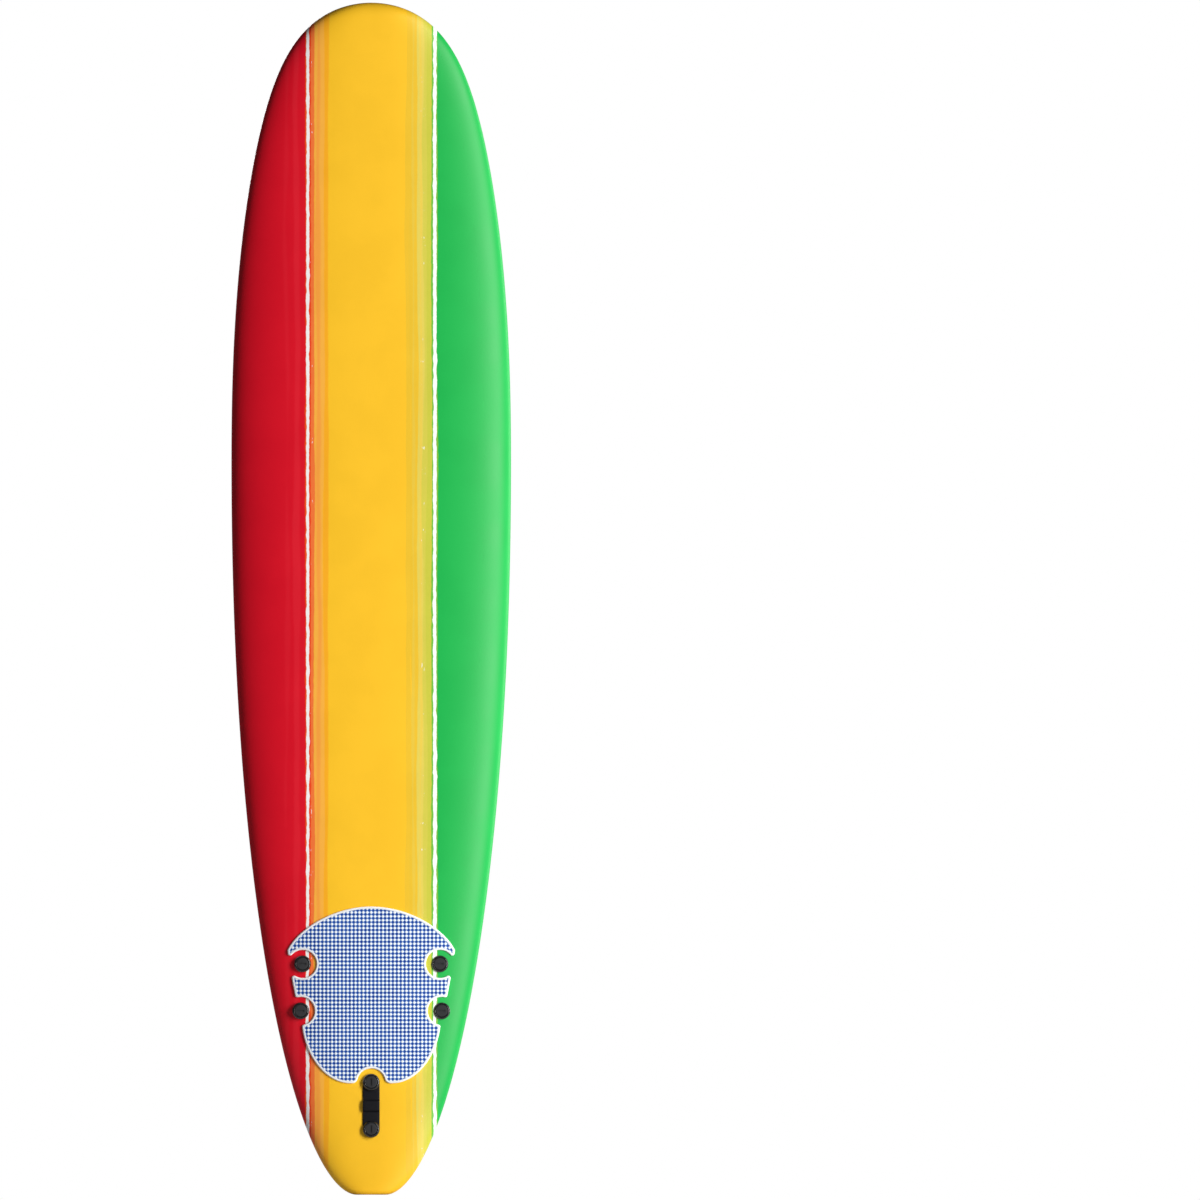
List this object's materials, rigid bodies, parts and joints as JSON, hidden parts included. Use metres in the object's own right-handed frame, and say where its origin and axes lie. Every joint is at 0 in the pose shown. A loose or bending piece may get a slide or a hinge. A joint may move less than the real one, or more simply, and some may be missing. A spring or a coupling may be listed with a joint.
{
  "type": "surfboard",
  "caption": "Soft-top longboard with a foam deck, slick bottom, stringered foam core, traction pad, leash strap and bolt-through fins.",
  "frame": {"origin": "centre of the flat tail end, on the face the board stands on", "axes": "+Z along the stringer from tail to nose, -Y out of the deck, +Y out of the bottom towards the fins, +X to the green rail"},
  "size_m": [0.5718, 0.2316, 2.4379],
  "materials": {
    "deck_foam": "matte",
    "slick": "satin",
    "core_foam": "matte",
    "wood": "matte",
    "pad_foam": "matte",
    "strap_rubber": "matte",
    "black_plastic": "satin",
    "sleeve_plastic": "satin",
    "post_brass": "satin"
  },
  "bodies": {
    "board": {"deck_skin": "deck_foam", "bottom_skin": "slick", "stringer_left": "wood", "stringer_centre": "wood", "stringer_right": "wood", "core_outer_left": "core_foam", "core_inner_left": "core_foam", "core_inner_right": "core_foam", "core_outer_right": "core_foam", "traction_pad": "pad_foam", "leash_strap": "strap_rubber", "sleeve_left_front": "sleeve_plastic", "sleeve_left_rear": "sleeve_plastic", "sleeve_centre_front": "sleeve_plastic", "sleeve_centre_rear": "sleeve_plastic", "sleeve_right_front": "sleeve_plastic", "sleeve_right_rear": "sleeve_plastic"},
    "left_fin": {"fin_left": "black_plastic", "post_left_front": "post_brass", "post_left_rear": "post_brass"},
    "centre_fin": {"fin_centre": "black_plastic", "post_centre_front": "post_brass", "post_centre_rear": "post_brass"},
    "right_fin": {"fin_right": "black_plastic", "post_right_front": "post_brass", "post_right_rear": "post_brass"},
    "left_front_bolt": {"bolt_left_front": "black_plastic", "washer_left_front": "black_plastic"},
    "left_rear_bolt": {"bolt_left_rear": "black_plastic", "washer_left_rear": "black_plastic"},
    "centre_front_bolt": {"bolt_centre_front": "black_plastic", "washer_centre_front": "black_plastic"},
    "centre_rear_bolt": {"bolt_centre_rear": "black_plastic", "washer_centre_rear": "black_plastic"},
    "right_front_bolt": {"bolt_right_front": "black_plastic", "washer_right_front": "black_plastic"},
    "right_rear_bolt": {"bolt_right_rear": "black_plastic", "washer_right_rear": "black_plastic"}
  },
  "joints": [
    {"name": "left_fin_release", "type": "slide", "parent": "board", "child": "left_fin", "axis": [0, 0.998, -0.0626], "range_m": [0, 0.035]},
    {"name": "centre_fin_release", "type": "slide", "parent": "board", "child": "centre_fin", "axis": [0, 0.9953, -0.0972], "range_m": [0, 0.035]},
    {"name": "right_fin_release", "type": "slide", "parent": "board", "child": "right_fin", "axis": [0, 0.998, -0.0626], "range_m": [0, 0.035]},
    {"name": "left_front_bolt_release", "type": "slide", "parent": "board", "child": "left_front_bolt", "axis": [0, -0.998, 0.0626], "range_m": [0, 0.065]},
    {"name": "left_rear_bolt_release", "type": "slide", "parent": "board", "child": "left_rear_bolt", "axis": [0, -0.998, 0.0626], "range_m": [0, 0.065]},
    {"name": "centre_front_bolt_release", "type": "slide", "parent": "board", "child": "centre_front_bolt", "axis": [0, -0.9953, 0.0972], "range_m": [0, 0.06]},
    {"name": "centre_rear_bolt_release", "type": "slide", "parent": "board", "child": "centre_rear_bolt", "axis": [0, -0.9953, 0.0972], "range_m": [0, 0.06]},
    {"name": "right_front_bolt_release", "type": "slide", "parent": "board", "child": "right_front_bolt", "axis": [0, -0.998, 0.0626], "range_m": [0, 0.065]},
    {"name": "right_rear_bolt_release", "type": "slide", "parent": "board", "child": "right_rear_bolt", "axis": [0, -0.998, 0.0626], "range_m": [0, 0.065]}
  ]
}
